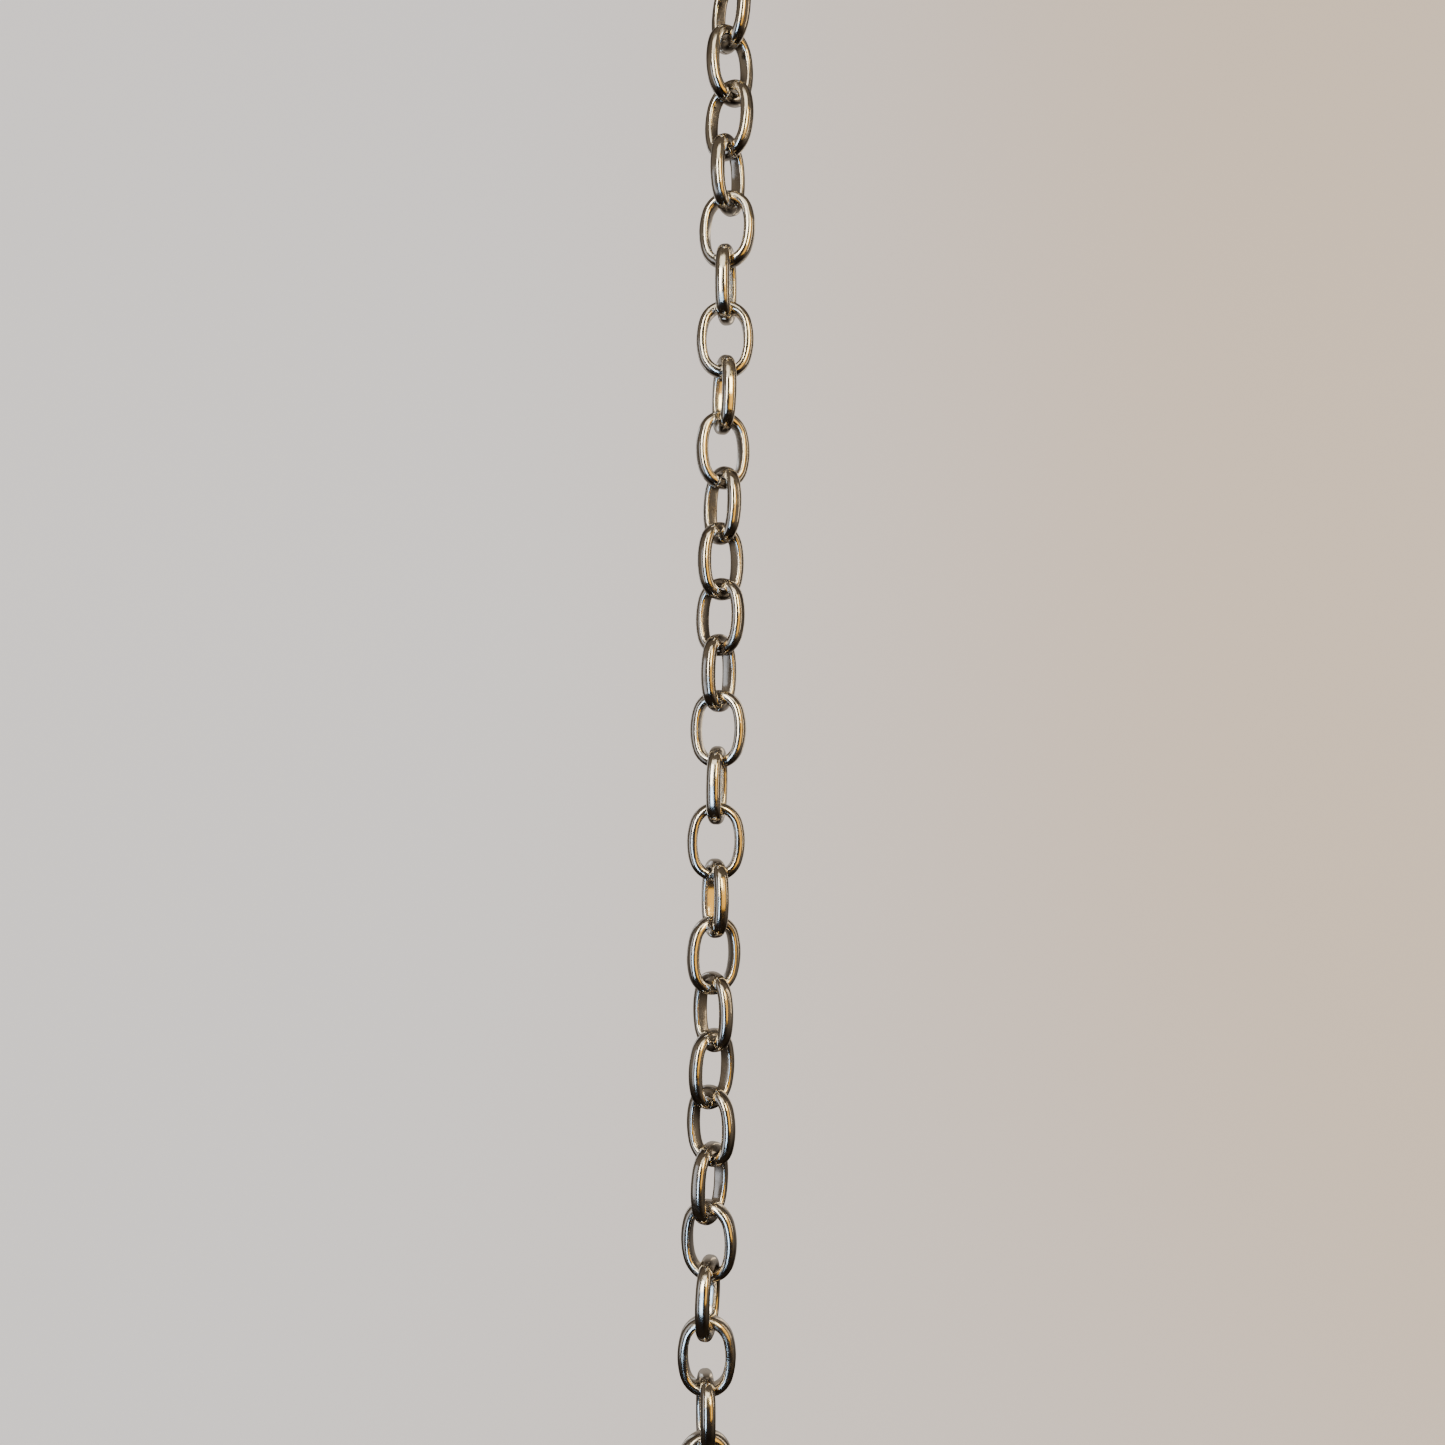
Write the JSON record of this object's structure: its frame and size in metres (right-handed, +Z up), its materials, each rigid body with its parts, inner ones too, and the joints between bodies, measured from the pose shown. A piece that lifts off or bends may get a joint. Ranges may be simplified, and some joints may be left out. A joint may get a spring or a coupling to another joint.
{
  "type": "eyeglasses chain strap",
  "caption": "Hanging length of an oval-link steel eyeglasses chain, each link hinged in the next, with a jump ring, crimp end, slider bead and silicone temple loop at each end.",
  "frame": {"origin": "inside of the top of the upper temple loop, where a temple arm carries it", "axes": "+Z up along the hanging chain, +X across both temple loops, -Y the front; a temple arm passes through the loops along Y"},
  "size_m": [0.0098, 0.006, 0.2322],
  "materials": {
    "polished_steel": "mirror polished, lightly scuffed",
    "fitting_steel": "polished, tool-marked where it was crimped",
    "silicone": "smooth matt"
  },
  "bodies": {
    "upper_end": {"upper_temple_loop": "silicone", "upper_crimp_end": "fitting_steel"},
    "upper_bead": {"upper_slider_bead": "fitting_steel"},
    "upper_ring": {"upper_jump_ring": "fitting_steel"},
    "link_01": {"chain_link_01": "polished_steel"},
    "link_02": {"chain_link_02": "polished_steel"},
    "link_03": {"chain_link_03": "polished_steel"},
    "link_04": {"chain_link_04": "polished_steel"},
    "link_05": {"chain_link_05": "polished_steel"},
    "link_06": {"chain_link_06": "polished_steel"},
    "link_07": {"chain_link_07": "polished_steel"},
    "link_08": {"chain_link_08": "polished_steel"},
    "link_09": {"chain_link_09": "polished_steel"},
    "link_10": {"chain_link_10": "polished_steel"},
    "link_11": {"chain_link_11": "polished_steel"},
    "link_12": {"chain_link_12": "polished_steel"},
    "link_13": {"chain_link_13": "polished_steel"},
    "link_14": {"chain_link_14": "polished_steel"},
    "link_15": {"chain_link_15": "polished_steel"},
    "link_16": {"chain_link_16": "polished_steel"},
    "link_17": {"chain_link_17": "polished_steel"},
    "link_18": {"chain_link_18": "polished_steel"},
    "link_19": {"chain_link_19": "polished_steel"},
    "link_20": {"chain_link_20": "polished_steel"},
    "link_21": {"chain_link_21": "polished_steel"},
    "link_22": {"chain_link_22": "polished_steel"},
    "link_23": {"chain_link_23": "polished_steel"},
    "link_24": {"chain_link_24": "polished_steel"},
    "link_25": {"chain_link_25": "polished_steel"},
    "link_26": {"chain_link_26": "polished_steel"},
    "link_27": {"chain_link_27": "polished_steel"},
    "link_28": {"chain_link_28": "polished_steel"},
    "lower_ring": {"lower_jump_ring": "fitting_steel"},
    "lower_end": {"lower_temple_loop": "silicone", "lower_crimp_end": "fitting_steel"},
    "lower_bead": {"lower_slider_bead": "fitting_steel"}
  },
  "joints": [
    {"name": "upper_bead_slide", "type": "slide", "parent": "upper_end", "child": "upper_bead", "axis": [0, 0, 1], "range_m": [0, 0.0044]},
    {"name": "upper_ring_swing", "type": "hinge", "parent": "upper_end", "child": "upper_ring", "pos_m": [0, 0, -0.03097], "axis": [0.9511, 0.309, 0], "range_deg": [-60, 60]},
    {"name": "link_01_swing", "type": "hinge", "parent": "upper_ring", "child": "link_01", "pos_m": [0, 0, -0.03472], "axis": [-0.4067, 0.9135, 0], "range_deg": [-60, 60]},
    {"name": "link_02_swing", "type": "hinge", "parent": "link_01", "child": "link_02", "pos_m": [0, 0, -0.04157], "axis": [-0.829, -0.5592, 0], "range_deg": [-60, 60]},
    {"name": "link_03_swing", "type": "hinge", "parent": "link_02", "child": "link_03", "pos_m": [0, 0, -0.04729], "axis": [0.6561, -0.7547, 0], "range_deg": [-60, 60]},
    {"name": "link_04_swing", "type": "hinge", "parent": "link_03", "child": "link_04", "pos_m": [0, 0, -0.05301], "axis": [0.6293, 0.7771, 0], "range_deg": [-60, 60]},
    {"name": "link_05_swing", "type": "hinge", "parent": "link_04", "child": "link_05", "pos_m": [0, 0, -0.05873], "axis": [-0.8829, 0.4695, 0], "range_deg": [-60, 60]},
    {"name": "link_06_swing", "type": "hinge", "parent": "link_05", "child": "link_06", "pos_m": [0, 0, -0.06445], "axis": [-0.2756, -0.9613, 0], "range_deg": [-60, 60]},
    {"name": "link_07_swing", "type": "hinge", "parent": "link_06", "child": "link_07", "pos_m": [0, 0, -0.07017], "axis": [0.9848, -0.1736, 0], "range_deg": [-60, 60]},
    {"name": "link_08_swing", "type": "hinge", "parent": "link_07", "child": "link_08", "pos_m": [0, 0, -0.07589], "axis": [-0.0175, 0.9998, 0], "range_deg": [-60, 60]},
    {"name": "link_09_swing", "type": "hinge", "parent": "link_08", "child": "link_09", "pos_m": [0, 0, -0.08161], "axis": [-0.9744, -0.225, 0], "range_deg": [-60, 60]},
    {"name": "link_10_swing", "type": "hinge", "parent": "link_09", "child": "link_10", "pos_m": [0, 0, -0.08733], "axis": [0.4384, -0.8988, 0], "range_deg": [-60, 60]},
    {"name": "link_11_swing", "type": "hinge", "parent": "link_10", "child": "link_11", "pos_m": [0, 0, -0.09305], "axis": [0.848, 0.5299, 0], "range_deg": [-60, 60]},
    {"name": "link_12_swing", "type": "hinge", "parent": "link_11", "child": "link_12", "pos_m": [0, 0, -0.09877], "axis": [-0.6947, 0.7193, 0], "range_deg": [-60, 60]},
    {"name": "link_13_swing", "type": "hinge", "parent": "link_12", "child": "link_13", "pos_m": [0, 0, -0.10449], "axis": [-0.6293, -0.7771, 0], "range_deg": [-60, 60]},
    {"name": "link_14_swing", "type": "hinge", "parent": "link_13", "child": "link_14", "pos_m": [0, 0, -0.11021], "axis": [0.8829, -0.4695, 0], "range_deg": [-60, 60]},
    {"name": "link_15_swing", "type": "hinge", "parent": "link_14", "child": "link_15", "pos_m": [0, 0, -0.11593], "axis": [0.3256, 0.9455, 0], "range_deg": [-60, 60]},
    {"name": "link_16_swing", "type": "hinge", "parent": "link_15", "child": "link_16", "pos_m": [0, 0, -0.12165], "axis": [-0.9877, 0.1564, 0], "range_deg": [-60, 60]},
    {"name": "link_17_swing", "type": "hinge", "parent": "link_16", "child": "link_17", "pos_m": [0, 0, -0.12737], "axis": [0.0698, -0.9976, 0], "range_deg": [-60, 60]},
    {"name": "link_18_swing", "type": "hinge", "parent": "link_17", "child": "link_18", "pos_m": [0, 0, -0.13309], "axis": [0.9563, 0.2924, 0], "range_deg": [-60, 60]},
    {"name": "link_19_swing", "type": "hinge", "parent": "link_18", "child": "link_19", "pos_m": [0, 0, -0.13881], "axis": [-0.4695, 0.8829, 0], "range_deg": [-60, 60]},
    {"name": "link_20_swing", "type": "hinge", "parent": "link_19", "child": "link_20", "pos_m": [0, 0, -0.14453], "axis": [-0.8192, -0.5736, 0], "range_deg": [-60, 60]},
    {"name": "link_21_swing", "type": "hinge", "parent": "link_20", "child": "link_21", "pos_m": [0, 0, -0.15025], "axis": [0.7193, -0.6947, 0], "range_deg": [-60, 60]},
    {"name": "link_22_swing", "type": "hinge", "parent": "link_21", "child": "link_22", "pos_m": [0, 0, -0.15597], "axis": [0.6428, 0.766, 0], "range_deg": [-60, 60]},
    {"name": "link_23_swing", "type": "hinge", "parent": "link_22", "child": "link_23", "pos_m": [0, 0, -0.16169], "axis": [-0.866, 0.5, 0], "range_deg": [-60, 60]},
    {"name": "link_24_swing", "type": "hinge", "parent": "link_23", "child": "link_24", "pos_m": [0, 0, -0.16741], "axis": [-0.3746, -0.9272, 0], "range_deg": [-60, 60]},
    {"name": "link_25_swing", "type": "hinge", "parent": "link_24", "child": "link_25", "pos_m": [0, 0, -0.17313], "axis": [0.9744, -0.225, 0], "range_deg": [-60, 60]},
    {"name": "link_26_swing", "type": "hinge", "parent": "link_25", "child": "link_26", "pos_m": [0, 0, -0.17885], "axis": [0.0698, 0.9976, 0], "range_deg": [-60, 60]},
    {"name": "link_27_swing", "type": "hinge", "parent": "link_26", "child": "link_27", "pos_m": [0, 0, -0.18457], "axis": [-0.9925, -0.1219, 0], "range_deg": [-60, 60]},
    {"name": "link_28_swing", "type": "hinge", "parent": "link_27", "child": "link_28", "pos_m": [0, 0, -0.19029], "axis": [0.1908, -0.9816, 0], "range_deg": [-60, 60]},
    {"name": "lower_ring_swing", "type": "hinge", "parent": "link_28", "child": "lower_ring", "pos_m": [0, 0, -0.19628], "axis": [0.9848, 0.1736, 0], "range_deg": [-60, 60]},
    {"name": "lower_end_swing", "type": "hinge", "parent": "lower_ring", "child": "lower_end", "pos_m": [0, 0, -0.19868], "axis": [0, 1, 0], "range_deg": [-60, 60]},
    {"name": "lower_bead_slide", "type": "slide", "parent": "lower_end", "child": "lower_bead", "axis": [0, 0, -1], "range_m": [0, 0.0044]}
  ]
}
